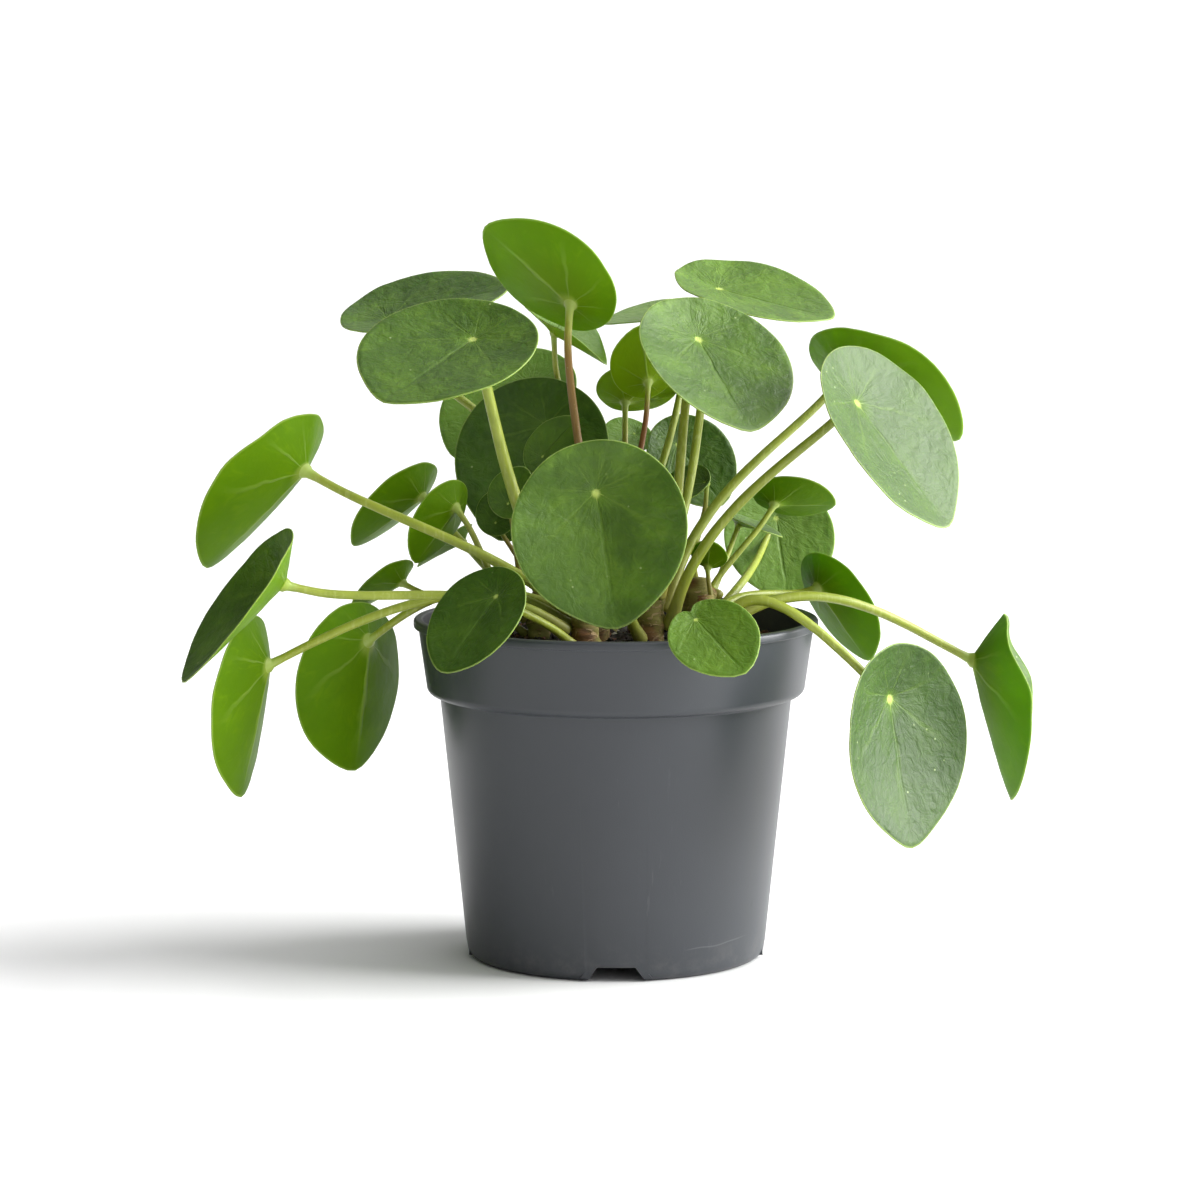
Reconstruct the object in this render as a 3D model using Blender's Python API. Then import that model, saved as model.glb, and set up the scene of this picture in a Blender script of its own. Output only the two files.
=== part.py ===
"""A Chinese money plant (Pilea) in a round nursery pot, as Blender solids.

Metres, +Z up. The origin is the centre of the pot's underside, where it stands.
+X runs to the plant's right as it is seen from the front, and -Y points at the viewer.
"""

from math import cos, exp, pi, radians, sin, sqrt

import bmesh
import bpy
from mathutils import Matrix, Vector

MM = 0.001
CM = 0.01
UP = Vector((0, 0, 1))

# The pot: a 12 cm round pot with a collar, a rolled lip and drain channels underneath.
POT_HEIGHT = 101 * MM
LIP_RADIUS = 60 * MM
LIP_DEPTH = 2.6 * MM
COLLAR_TOP_RADIUS = 58.6 * MM
COLLAR_FOOT_RADIUS = 56.2 * MM
COLLAR_HEIGHT = 22.5 * MM
COLLAR_ROUND = 2.6 * MM
WALL_TOP_RADIUS = 52.2 * MM
WALL_FOOT_RADIUS = 44.5 * MM
FOOT_ROUND = 3 * MM
WALL = 1.3 * MM
FLOOR = 1.4 * MM
POT_STEPS = 48

# Drain channels run in from the foot; the floor is raised over each one like a small roof.
CHANNELS = 4
CHANNEL_HEIGHT = 4.4 * MM
CHANNEL_FOOT_WIDTH = 18.4 * MM
CHANNEL_TOP_WIDTH = 11 * MM
CHANNEL_START = 14 * MM
CHANNEL_ROOF = 1.2 * MM
DRAIN_RADIUS = 3.6 * MM
CHANNEL_DRAIN_AT = 27 * MM
FLOOR_DRAIN_AT = 30 * MM

# The soil: a plug that fills the pot to just under the lip and rises a little in the middle.
GAP = 0.3 * MM
SOIL_LEVEL = 92.5 * MM
SOIL_MOUND = 1.5 * MM

# Leaves: a round blade on a petiole that meets it off centre, nearer its base than its tip.
BLADE_THICKNESS = 0.9 * MM
RING_SHARES = (0.36, 0.7, 1.0)
BASE_SHARE = 0.28
TIP_POINT = 0.07
TIP_SPREAD = 0.32
NOTCH_SPREAD = 0.5
PETIOLE_TAPER = 0.68


def material(name, colour, roughness):
    made = bpy.data.materials.new(name)
    made.use_nodes = True
    shader = made.node_tree.nodes["Principled BSDF"]
    shader.inputs["Base Color"].default_value = (*colour, 1)
    shader.inputs["Roughness"].default_value = roughness
    made.diffuse_color = (*colour, 1)
    return made


def new_object(name, mesh_maker, finish):
    """A mesh object at the origin from what mesh_maker builds in a bmesh."""
    bm = bmesh.new()
    mesh_maker(bm)
    mesh = bpy.data.meshes.new(name)
    bm.to_mesh(mesh)
    bm.free()
    made = bpy.data.objects.new(name, mesh)
    bpy.context.scene.collection.objects.link(made)
    if finish:
        mesh.materials.append(finish)
    return made


def spin_profile(bm, profile, steps):
    """Turns a profile of (radius, height) about Z; ends on the axis close to a point."""
    points = [bm.verts.new((radius, 0, height)) for radius, height in profile]
    edges = [bm.edges.new(pair) for pair in zip(points, points[1:])]
    if profile[0][0] > 0:
        edges.append(bm.edges.new((points[-1], points[0])))
    bmesh.ops.spin(bm, geom=points + edges, cent=(0, 0, 0), axis=UP, angle=2 * pi,
                   steps=steps, use_merge=True)
    bmesh.ops.remove_doubles(bm, verts=bm.verts, dist=0.01 * MM)
    bmesh.ops.recalc_face_normals(bm, faces=bm.faces)


def arc(centre_radius, centre_height, radius, start, end, count):
    """Points of an arc in the profile plane, from start to end in degrees."""
    turns = [radians(start + (end - start) * i / count) for i in range(count + 1)]
    return [(centre_radius + radius * cos(t), centre_height + radius * sin(t)) for t in turns]


# ---------------------------------------------------------------- pot

def pot_profile():
    """The pot's half section: outside from the axis up to the lip, then inside back down."""
    collar_foot = POT_HEIGHT - COLLAR_HEIGHT
    foot = arc(WALL_FOOT_RADIUS - FOOT_ROUND, FOOT_ROUND, FOOT_ROUND, -90, -8, 3)
    shoulder = arc(COLLAR_FOOT_RADIUS - COLLAR_ROUND, collar_foot + COLLAR_ROUND, COLLAR_ROUND,
                   -70, 0, 3)
    lip = [(COLLAR_TOP_RADIUS, POT_HEIGHT - LIP_DEPTH), (LIP_RADIUS, POT_HEIGHT - LIP_DEPTH),
           (LIP_RADIUS, POT_HEIGHT - 0.6 * MM), (LIP_RADIUS - 0.6 * MM, POT_HEIGHT),
           (COLLAR_TOP_RADIUS - WALL, POT_HEIGHT)]
    inside = [(COLLAR_FOOT_RADIUS - WALL, collar_foot + WALL),
              (WALL_TOP_RADIUS - WALL, collar_foot + WALL / 2),
              (WALL_FOOT_RADIUS - WALL, FOOT_ROUND), (WALL_FOOT_RADIUS - FOOT_ROUND, FLOOR)]
    return [(0, 0), *foot, (WALL_TOP_RADIUS, collar_foot), *shoulder, *lip, *inside, (0, FLOOR)]


def channel_prism(bm, foot, height, spread, start, end):
    """A bar of trapezoid section along +X, from radius start to end and from foot to height."""
    low = CHANNEL_FOOT_WIDTH / 2 + spread
    high = CHANNEL_TOP_WIDTH / 2 + spread
    section = [(-low, foot), (low, foot), (high, height), (-high, height)]
    face = bm.faces.new([bm.verts.new((start, y, z)) for y, z in section])
    swept = bmesh.ops.extrude_face_region(bm, geom=[face])
    bmesh.ops.translate(bm, verts=[v for v in swept["geom"] if isinstance(v, bmesh.types.BMVert)],
                        vec=(end - start, 0, 0))
    bmesh.ops.recalc_face_normals(bm, faces=bm.faces)


def helper(name, mesh_maker, turn, place=(0, 0, 0)):
    """A Boolean's other half: it isn't part of the object."""
    made = new_object(name, mesh_maker, None)
    made.matrix_world = Matrix.Rotation(turn, 4, "Z") @ Matrix.Translation(place)
    made.hide_render = True
    made.display_type = "WIRE"
    return made


def boolean(target, other, operation):
    modifier = target.modifiers.new(other.name, "BOOLEAN")
    modifier.operation = operation
    modifier.solver = "EXACT"
    modifier.object = other


def make_pot(finish):
    pot = new_object("pot", lambda bm: spin_profile(bm, pot_profile(), POT_STEPS), finish)
    turns = [2 * pi * i / CHANNELS + pi / 2 for i in range(CHANNELS)]
    roof_end = WALL_FOOT_RADIUS - 0.7 * WALL
    for i, turn in enumerate(turns):
        roof = helper(f"channel_roof_{i}", lambda bm: channel_prism(
            bm, 0.8 * FLOOR, CHANNEL_HEIGHT + CHANNEL_ROOF, CHANNEL_ROOF, CHANNEL_START, roof_end),
            turn)
        boolean(pot, roof, "UNION")
    for i, turn in enumerate(turns):
        cut = helper(f"channel_cut_{i}", lambda bm: channel_prism(
            bm, -MM, CHANNEL_HEIGHT, 0, CHANNEL_START + 2 * CHANNEL_ROOF, LIP_RADIUS), turn)
        boolean(pot, cut, "DIFFERENCE")
    for i, turn in enumerate(turns):
        for kind, angle, reach in (("channel", 0, CHANNEL_DRAIN_AT),
                                   ("floor", pi / CHANNELS, FLOOR_DRAIN_AT)):
            hole = helper(f"{kind}_drain_{i}", lambda bm: bmesh.ops.create_cone(
                bm, cap_ends=True, segments=10, radius1=DRAIN_RADIUS, radius2=DRAIN_RADIUS,
                depth=20 * MM), turn + angle, (reach, 0, 0))
            boolean(pot, hole, "DIFFERENCE")
    return pot


# ---------------------------------------------------------------- soil and stems

def soil_height(x, y):
    """The soil's top: a low mound with gentle lumps."""
    share = min(1.0, sqrt(x * x + y * y) / WALL_TOP_RADIUS)
    lumps = sin(x / (7 * MM) + 1) * cos(y / (6 * MM)) * 0.35 * MM
    return SOIL_LEVEL + SOIL_MOUND * (1 - share * share) + lumps


def make_soil(finish):
    collar_foot = POT_HEIGHT - COLLAR_HEIGHT
    bottom = CHANNEL_HEIGHT + CHANNEL_ROOF + 2 * GAP
    slope = (WALL_TOP_RADIUS - WALL_FOOT_RADIUS) / collar_foot
    collar_slope = (COLLAR_TOP_RADIUS - COLLAR_FOOT_RADIUS) / COLLAR_HEIGHT
    clear = WALL + 2 * GAP
    foot_radius = WALL_FOOT_RADIUS + slope * bottom - clear
    step_radius = WALL_TOP_RADIUS - clear
    brim_radius = COLLAR_FOOT_RADIUS + collar_slope * (SOIL_LEVEL - collar_foot) - clear
    above_step = collar_foot + WALL + 2 * GAP
    profile = [(0, bottom), (foot_radius, bottom), (step_radius, collar_foot),
               (step_radius, above_step), (COLLAR_FOOT_RADIUS - clear, above_step + WALL),
               (brim_radius, SOIL_LEVEL), (0.66 * brim_radius, SOIL_LEVEL + MM),
               (0.33 * brim_radius, SOIL_LEVEL + MM), (0, SOIL_LEVEL + MM)]
    soil = new_object("soil", lambda bm: spin_profile(bm, profile, 24), finish)
    for vertex in soil.data.vertices:
        if vertex.co.z > SOIL_LEVEL + MM / 2:
            vertex.co.z = soil_height(vertex.co.x, vertex.co.y)
    return soil


class Shoot:
    """A short upright stem that the leaves of one crown grow from."""

    SIDES = 10
    LEVELS = ((0.0, 1.12), (0.25, 1.0), (0.5, 1.04), (0.8, 0.92), (1.0, 0.6))

    def __init__(self, name, x, y, radius, height):
        self.name = name
        self.foot = Vector((x * CM, y * CM, soil_height(x * CM, y * CM) + 3 * GAP))
        self.radius = radius * CM
        self.height = height * CM

    def radius_at(self, z):
        """The stem's radius at a height."""
        share = min(1.0, max(0.0, (z - self.foot.z) / self.height))
        for (low, width), (high, next_width) in zip(self.LEVELS, self.LEVELS[1:]):
            if share <= high:
                return self.radius * (width + (next_width - width) * (share - low) / (high - low))

    def surface(self, toward, height, petiole_radius, turn):
        """Where a petiole meets the stem: on the side that faces toward, turned by turn degrees."""
        side = toward - self.foot
        side.z = 0
        side = Matrix.Rotation(radians(turn), 3, "Z") @ side.normalized()
        start = self.foot.copy()
        start.z = SOIL_LEVEL + height * CM
        start += side * (self.radius_at(start.z) + GAP + 0.8 * petiole_radius)
        return start, side

    def build(self, finish):
        def mesh_maker(bm):
            rings = []
            for share, width in self.LEVELS:
                ring = bmesh.ops.create_circle(bm, segments=self.SIDES, cap_ends=False,
                                               radius=self.radius * width)["verts"]
                bmesh.ops.translate(bm, verts=ring, vec=self.foot + UP * share * self.height)
                rings.append(ring)
            for low, high in zip(rings, rings[1:]):
                bmesh.ops.bridge_loops(bm, edges=ring_edges(low, high))
            for ring in (rings[0], rings[-1]):
                bm.faces.new(ring)
            bmesh.ops.recalc_face_normals(bm, faces=bm.faces)

        return new_object(self.name, mesh_maker, finish)


def ring_edges(*rings):
    """The edges that lie within each ring."""
    found = []
    for ring in rings:
        inside = set(ring)
        found += {edge for vert in ring for edge in vert.link_edges
                  if edge.other_vert(vert) in inside}
    return found


# ---------------------------------------------------------------- leaves

def outline_reach(angle, width, length, base, notch):
    """Distance from the petiole's joint to the blade's edge; angle 0 points at the tip.

    base is the share of the length that lies behind the joint, and notch is how much of that
    is missing straight behind it.
    """
    half_width, half_length = width / 2, length / 2
    shift = half_length - base * length
    across, along = sin(angle) / half_width, cos(angle) / half_length
    middle = along * shift / half_length
    size = across * across + along * along
    reach = (middle + sqrt(middle * middle - size * ((shift / half_length) ** 2 - 1))) / size
    from_tip = (angle + pi) % (2 * pi) - pi
    from_base = angle % (2 * pi) - pi
    return reach * (1 + TIP_POINT * exp(-((from_tip / TIP_SPREAD) ** 2))
                    - notch * exp(-((from_base / NOTCH_SPREAD) ** 2)))


def blade_rise(share, angle, width, cup, fold, droop):
    """Height of the blade over its joint: a cup, a crease along the midrib and a bent tip."""
    along = share * cos(angle)
    crease = fold * abs(share * sin(angle))
    return width * (cup * share ** 1.35 + crease - droop * max(0.0, along) ** 2)


def bezier(points, share):
    a, b, c, d = points
    rest = 1 - share
    return (rest ** 3 * a + 3 * rest * rest * share * b
            + 3 * rest * share * share * c + share ** 3 * d)


def bezier_slope(points, share):
    a, b, c, d = points
    rest = 1 - share
    return (3 * rest * rest * (b - a) + 6 * rest * share * (c - b)
            + 3 * share * share * (d - c)).normalized()


def leaf(name, shoot, height, at, faces, tip, width, finish, *, length=1.08, cup=0.05, fold=0.02,
         droop=0.0, lift=0.8, reach=0.35, square=0.4, thick=None, turn=0.0, via=None,
         arrive=None, base=BASE_SHARE, notch=0.0):
    """One leaf, blade and petiole in one solid.

    at is the blade's joint in cm, faces is where its upper side looks, tip is where its tip
    points, and width is in cm. The petiole leaves shoot at height cm over the soil, turned by
    turn degrees round it from the leaf's own side. It starts outwards and upwards by lift,
    goes through via if that is given, and meets the blade between square on (1) and slanting (0),
    or in the direction arrive.
    """
    joint = Vector(at) * CM
    normal = Vector(faces).normalized()
    toward_tip = (Vector(tip) - normal * Vector(tip).dot(normal)).normalized()
    across = toward_tip.cross(normal)
    wide, long = width * CM, width * length * CM
    petiole_radius = thick * MM / 2 if thick else (0.7 + 0.2 * width) * MM
    segments = 16 if width > 2.9 else 12
    sides = segments // 2
    levels = 8 if width > 2.9 else 6

    start, side = shoot.surface(joint, height, petiole_radius, turn)
    end = joint - normal * BLADE_THICKNESS
    chord = end - start
    arrival = Vector(arrive) if arrive else normal * square + chord.normalized() * (1 - square)
    before_end = end - arrival.normalized() * chord.length * 0.3
    after_start = start + (side + UP * lift).normalized() * chord.length * reach
    if via:
        after_start = (Vector(via) * CM * 8 - start - 3 * before_end - end) / 3
    path = (start, after_start, before_end, end)

    def blade_point(share, angle, drop):
        out = share * outline_reach(angle, wide, long, base, notch)
        rise = blade_rise(share, angle, wide, cup, fold, droop)
        return (joint + across * sin(angle) * out + toward_tip * cos(angle) * out
                + normal * (rise - drop))

    def ring(bm, share, drop):
        return [bm.verts.new(blade_point(share, 2 * pi * i / segments, drop))
                for i in range(segments)]

    def join(bm, first, second):
        for i in range(len(first)):
            k = (i + 1) % len(first)
            bm.faces.new((first[i], first[k], second[k], second[i]))

    def petiole_ring(bm, share):
        centre = bezier(path, share)
        slope = bezier_slope(path, share)
        blend = max(0.0, (share - 0.7) / 0.3)
        facing = (slope * (1 - blend) + normal * blend).normalized()
        forward = (toward_tip - facing * toward_tip.dot(facing)).normalized()
        sideways = forward.cross(facing)
        radius = petiole_radius * (1 + (PETIOLE_TAPER - 1) * share)
        turns = [2 * pi * (i + 0.5) / sides for i in range(sides)]
        return [bm.verts.new(centre + radius * (sideways * sin(t) + forward * cos(t)))
                for t in turns]

    def mesh_maker(bm):
        middle = bm.verts.new(joint)
        upper = [ring(bm, share, 0) for share in RING_SHARES]
        lower = [ring(bm, share, BLADE_THICKNESS) for share in reversed(RING_SHARES)]
        for i in range(segments):
            bm.faces.new((middle, upper[0][i], upper[0][(i + 1) % segments]))
        layers = upper + lower
        for first, second in zip(layers, layers[1:]):
            join(bm, first, second)
        last = 1 - 1.2 * petiole_radius / chord.length
        tube = [petiole_ring(bm, last * (1 - i / (levels - 1))) for i in range(levels)]
        for i in range(sides):
            k = (i + 1) % sides
            around = [lower[-1][(2 * i + n) % segments] for n in range(1, 4)]
            bm.faces.new((tube[0][i], around[0], around[1]))
            bm.faces.new((tube[0][i], around[1], tube[0][k]))
            bm.faces.new((tube[0][k], around[1], around[2]))
        for first, second in zip(tube, tube[1:]):
            join(bm, first, second)
        bm.faces.new(tube[-1])
        bmesh.ops.recalc_face_normals(bm, faces=bm.faces)

    return new_object(name, mesh_maker, finish)


def grow_middle(finish):
    """The tall leaves in the middle, from three stems. Positions are in cm from the origin."""
    one = Shoot("middle_left_stem", -0.6, -0.2, 0.4, 2.4)
    two = Shoot("middle_right_stem", 1.0, -1.0, 0.4, 2.7)
    back = Shoot("back_stem", -0.3, 2.6, 0.35, 2.2)

    def big(name, shoot, height, at, faces, tip, width, **shape):
        leaf(name, shoot, height, at, faces, tip, width, finish, **shape)

    big("leaf_top_left", one, 2.0, (-1.3, 0.5, 19.4), (.45, .65, .6), (-.8, 0, .6), 4.0, cup=.08,
        via=(-1.1, .3, 15.2))
    big("leaf_upper_left_front", one, 1.3, (-4.1, -2.5, 18.5), (-.11, -.49, .86), (-.6, -.68, -.42),
        5.2, length=1.0, thick=4.4)
    big("leaf_dark_left", one, 0.5, (-2.1, 2.9, 15.6), (-.1, -.9, .4), (-.35, -.35, -.87), 4.6,
        reach=.28)
    big("leaf_small_middle", one, 0.9, (-2.2, 0.8, 14.8), (-.3, -.85, .35), (.65, 0, .75), 1.4,
        length=1.4, turn=20)
    big("leaf_front_middle", two, 0.4, (-.6, -4.0, 14.2), (-.1, -.97, .2), (.17, -.2, -1), 5.0,
        length=1.02)
    big("leaf_top_right_back", two, 2.1, (3.1, 3.5, 19.7), (.19, -.31, .93), (.9, -.3, -.28), 4.4,
        turn=-5)
    big("leaf_top_right_front", two, 1.7, (2.4, -.5, 18.4), (.36, -.6, .71), (.35, -.6, -.72), 4.8,
        length=1.02, turn=-80, lift=1.6)
    big("leaf_young_upright", two, 2.1, (.95, 2.0, 17.0), (-.2, .8, .5), (-.1, -.5, .85), 2.1,
        length=1.2, turn=30)
    big("leaf_right_front", two, 0.7, (7.0, -1.5, 16.6), (.68, -.54, .5), (.5, 0, -.85), 5.3,
        turn=-5, via=(3.9, -1.3, 13.9))
    big("leaf_right_back", two, 1.2, (7.0, 2.5, 17.3), (.5, .48, .72), (.85, 0, -.53), 4.7,
        turn=5, via=(4.0, .8, 14.5))
    big("leaf_upper_left_back", back, 1.0, (-7.0, 5.0, 18.7), (-.2, -.31, .93), (.98, 0, .22), 4.6,
        turn=20, via=(-3.7, 3.9, 15.5))
    big("leaf_young_top", back, 2.0, (-1.8, 3.2, 18.4), (.56, -.26, .78), (.8, 0, -.6), 2.2,
        length=1.3, fold=.12, base=.42, turn=-20, via=(-1.2, 4.3, 15.3))
    big("leaf_back_left", back, 1.2, (-2.6, 6.0, 16.6), (-.25, -.65, .7), (-.5, -.3, -.6), 4.2,
        turn=-10, via=(-1.5, 5.1, 13.6))
    big("leaf_top_far_back", back, 1.8, (2.3, 5.0, 18.9), (-.15, -.11, .98), (-.9, -.2, -.1), 3.3,
        turn=-20, via=(1.7, 3.1, 15.4))
    big("leaf_young_back", back, 1.5, (.3, 3.9, 16.3), (0, .6, .75), (.6, -.5, .5), 2.4)
    big("leaf_pale_back", back, 0.8, (.6, 5.0, 15.2), (.2, -.6, .75), (-.5, -.3, -.4), 1.5, turn=30)
    return one, two, back


def grow_main(finish):
    """The woody main stem, right of the middle and towards the back."""
    main = Shoot("main_stem", 2.5, 0.9, 0.5, 1.7)

    def small(name, height, at, faces, tip, width, **shape):
        leaf(name, main, height, at, faces, tip, width, finish, **shape)

    small("leaf_dark_right", 1.4, (1.9, 4.5, 14.9), (.3, -.85, .45), (.6, -.3, -.75), 2.8, turn=20)
    small("leaf_right_level", 1.4, (4.8, 2.5, 13.3), (.1, .6, .8), (.9, .3, .2), 2.2, cup=.12,
        turn=-15, via=(3.5, 1.8, 11.6))
    small("leaf_light_back_right", 0.8, (5.0, 6.0, 12.5), (0, -.85, .5), (.1, -.4, -.85), 3.4,
        turn=-25)
    small("leaf_small_grey", 1.3, (2.7, 2.6, 13.9), (-.4, -.6, .7), (-.8, -.3, .5), 1.4, base=.12,
        via=(2.5, 2.8, 12.2))
    small("leaf_small_folded", 1.1, (3.8, 3.5, 12.6), (.35, -.05, .93), (.9, -.2, -.35), 1.6)
    small("leaf_tiny_olive", 0.6, (2.75, .5, 11.6), (.2, .7, .7), (.1, -.3, .9), 1.1, base=.15,
        lift=2)
    small("leaf_tiny_low", 0.4, (1.5, 2.2, 10.8), (-.3, .6, .7), (-.6, -.3, .5), 0.9)
    return (main,)


def grow_left(finish):
    """Leaves that lean out over the left of the rim."""
    left = Shoot("left_stem", -0.9, -2.6, 0.4, 1.7)
    small_left = Shoot("small_left_stem", -2.3, 0.1, 0.3, 1.4)

    def big(name, shoot, height, at, faces, tip, width, **shape):
        leaf(name, shoot, height, at, faces, tip, width, finish, **shape)

    big("leaf_far_left_high", left, 1.4, (-9.2, -1.0, 14.6), (-.74, .37, .56), (-.6, .1, -.8), 4.9,
        cup=.14)
    big("leaf_far_left_middle", left, 0.8, (-9.6, -4.2, 11.6), (-.78, -.21, .6), (-.6, -.1, -.8),
        4.6, cup=.14)
    big("leaf_far_left_low", left, 0.9, (-10.2, -2.6, 9.0), (-.96, .26, .07), (-.17, 0, -1), 4.6,
        cup=.11, turn=-30, via=(-5.8, -2.3, 10.8), arrive=(-.88, 0, -.46))
    big("leaf_left_hanging", left, 1.1, (-7.4, 0, 9.4), (-.75, .65, .05), (0.1, 0, -1), 4.4,
        cup=.14, turn=-50, via=(-4.9, -1.1, 10.9), arrive=(-.75, .3, -.6), base=.22)
    big("leaf_front_left", left, 0.4, (-3.4, -5.5, 11.4), (-.48, -.63, .61), (-.45, -.29, -.72),
        3.1, base=.24)
    big("leaf_left_back", small_left, 1.0, (-5.9, 2.5, 13.5), (-.62, .43, .65), (-.75, .1, -.65),
        3.0, cup=.14)
    big("leaf_left_inner", small_left, 0.8, (-4.8, 0, 13.4), (-.74, .55, .4), (-.5, 0, -.85), 2.4,
        cup=.1)
    big("leaf_left_narrow", small_left, 0.6, (-4.7, 3.0, 12.1), (-.6, .2, .77), (-.75, 0, -.66),
        1.8, cup=.1, turn=-20)
    big("leaf_left_low_back", small_left, 0.3, (-6.5, 2.5, 10.9), (-.57, .4, .72), (-.8, 0, -.6),
        2.0, cup=.14)
    big("leaf_small_left", small_left, 0.9, (-3.6, 1.0, 12.8), (-.2, -.9, .3), (.1, -.3, .9), 1.3,
        turn=-60)
    big("leaf_small_left_front", small_left, 1.1, (-3.2, -.4, 13.5), (-.2, -.9, .3), (.3, -.2, .9),
        1.4, turn=30)
    return left, small_left


def grow_right(finish):
    """Leaves that lean out over the right of the rim."""
    right = Shoot("right_stem", 2.6, -2.6, 0.4, 1.6)

    def big(name, height, at, faces, tip, width, **shape):
        leaf(name, right, height, at, faces, tip, width, finish, **shape)

    big("leaf_right_hanging", 1.1, (6.1, 1.0, 10.9), (.72, .5, .43), (.5, .1, -.85), 3.2, cup=.1,
        turn=15)
    big("leaf_far_right", 0.9, (10.7, 0, 8.8), (1, -.1, .04), (.1, -.05, -1), 4.8, cup=.19,
        turn=10, via=(7.1, -1.0, 10.6), arrive=(.9, 0, -.45), base=.26)
    big("leaf_right_low", 1.0, (7.9, -3.5, 8.2), (.7, -.7, .1), (.1, -.1, -1), 5.1, cup=.09,
        turn=-15, via=(5.4, -3.1, 10.4), arrive=(.72, -.1, -.69))
    big("leaf_front_right", 0.4, (2.2, -6.0, 10.8), (-.1, -.7, .7), (.5, -.45, -.6), 2.5,
        base=.14, notch=.5)
    return (right,)


def clear_scene():
    for obj in list(bpy.data.objects):
        bpy.data.objects.remove(obj)


def build():
    clear_scene()
    make_pot(material("pot_plastic", (0.09, 0.10, 0.11), 0.45))
    make_soil(material("potting_soil", (0.045, 0.028, 0.018), 0.95))
    stem_finish = material("stem_bark", (0.19, 0.12, 0.05), 0.8)
    leaf_finish = material("leaf_green", (0.10, 0.24, 0.03), 0.35)
    for grow in (grow_middle, grow_main, grow_left, grow_right):
        for shoot in grow(leaf_finish):
            shoot.build(stem_finish)


build()
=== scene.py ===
"""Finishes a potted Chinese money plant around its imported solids.

Every blade, petiole, stem, crumb of soil and the pot's moulded shell is modelled here in
metres, in the frame of the solids: +Z up, the origin under the middle of the pot.
"""

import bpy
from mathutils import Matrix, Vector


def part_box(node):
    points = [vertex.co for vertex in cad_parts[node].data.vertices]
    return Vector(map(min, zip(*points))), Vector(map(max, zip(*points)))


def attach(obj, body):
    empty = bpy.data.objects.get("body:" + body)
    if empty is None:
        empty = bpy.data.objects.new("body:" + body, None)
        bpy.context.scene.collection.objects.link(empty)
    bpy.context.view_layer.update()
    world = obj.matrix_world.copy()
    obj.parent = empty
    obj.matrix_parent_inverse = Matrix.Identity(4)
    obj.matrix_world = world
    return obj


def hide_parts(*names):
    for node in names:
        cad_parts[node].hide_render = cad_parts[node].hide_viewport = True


bl_info = {
    "name": "Potted Pilea",
    "version": (1, 0, 0),
    "blender": (4, 5, 0),
    "location": "3D View > Sidebar > Pilea",
    "description": "Models the leaves, stems, soil and pot of a potted Chinese money plant",
    "category": "Object",
}

from math import atan2, cos, exp, floor, pi, radians, sin, sqrt
from random import Random

import bmesh
import bpy
from bpy.props import FloatProperty, FloatVectorProperty, IntProperty, PointerProperty
from mathutils import Matrix, Vector, noise

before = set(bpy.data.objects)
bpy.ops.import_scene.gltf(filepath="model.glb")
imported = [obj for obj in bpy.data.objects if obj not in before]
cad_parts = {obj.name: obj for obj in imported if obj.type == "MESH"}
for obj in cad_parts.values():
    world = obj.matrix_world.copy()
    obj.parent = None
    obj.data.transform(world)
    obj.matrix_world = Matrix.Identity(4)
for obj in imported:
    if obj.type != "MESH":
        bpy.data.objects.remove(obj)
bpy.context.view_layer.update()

MM = 0.001
UP = Vector((0, 0, 1))
BODY = "root"
POT_LOW, POT_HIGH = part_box("pot")
SOIL_LOW, SOIL_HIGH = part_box("soil")
LEAF_NODES = sorted(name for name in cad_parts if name.startswith("leaf_"))
STEM_NODES = sorted(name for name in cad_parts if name.endswith("_stem"))


# ---------------------------------------------------------------- what a user can change

def length(name, default, description):
    return FloatProperty(name=name, default=default, min=0, unit="LENGTH", precision=5,
                         description=description)


def colour(name, default, description):
    return FloatVectorProperty(name=name, default=default, size=3, min=0, max=1, subtype="COLOR",
                               description=description)


class PotSettings(bpy.types.PropertyGroup):
    """Sizes and finish of the moulded pot; its height and lip come from the solids."""
    collar_height: length("Collar height", 22.5 * MM, "Height of the band under the lip")
    collar_top: length("Collar top radius", 58.6 * MM, "Outside of the collar under the lip")
    collar_foot: length("Collar foot radius", 56.2 * MM, "Outside of the collar at its foot")
    wall_top: length("Wall top radius", 52.2 * MM, "Outside of the wall under the collar")
    wall_foot: length("Wall foot radius", 44.5 * MM, "Outside of the wall at the floor")
    wall: length("Wall", 1.3 * MM, "Thickness of the plastic")
    floor: length("Floor", 1.4 * MM, "Thickness of the pot's floor")
    lip_depth: length("Lip depth", 2.6 * MM, "Height of the lip's outer band")
    steps: IntProperty(name="Steps", default=144, min=24, description="Facets round the pot")
    plastic: colour("Plastic", (0.035, 0.039, 0.045), "Colour of the plastic")


class SoilSettings(bpy.types.PropertyGroup):
    """The potting mix and what lies on it."""
    roughness: length("Lumps", 1.1 * MM, "Height of the soil's lumps")
    crumbs: IntProperty(name="Crumbs", default=1100, min=0, description="Loose peat crumbs")
    bark: IntProperty(name="Bark", default=230, min=0, description="Bark chips on the soil")
    perlite: IntProperty(name="Perlite", default=110, min=0, description="White perlite grains")
    peat: colour("Peat", (0.036, 0.020, 0.011), "Colour of the damp peat")
    bark_colour: colour("Bark colour", (0.200, 0.075, 0.028), "Colour of the bark chips")
    perlite_colour: colour("Perlite colour", (0.72, 0.70, 0.64), "Colour of the perlite")


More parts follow.
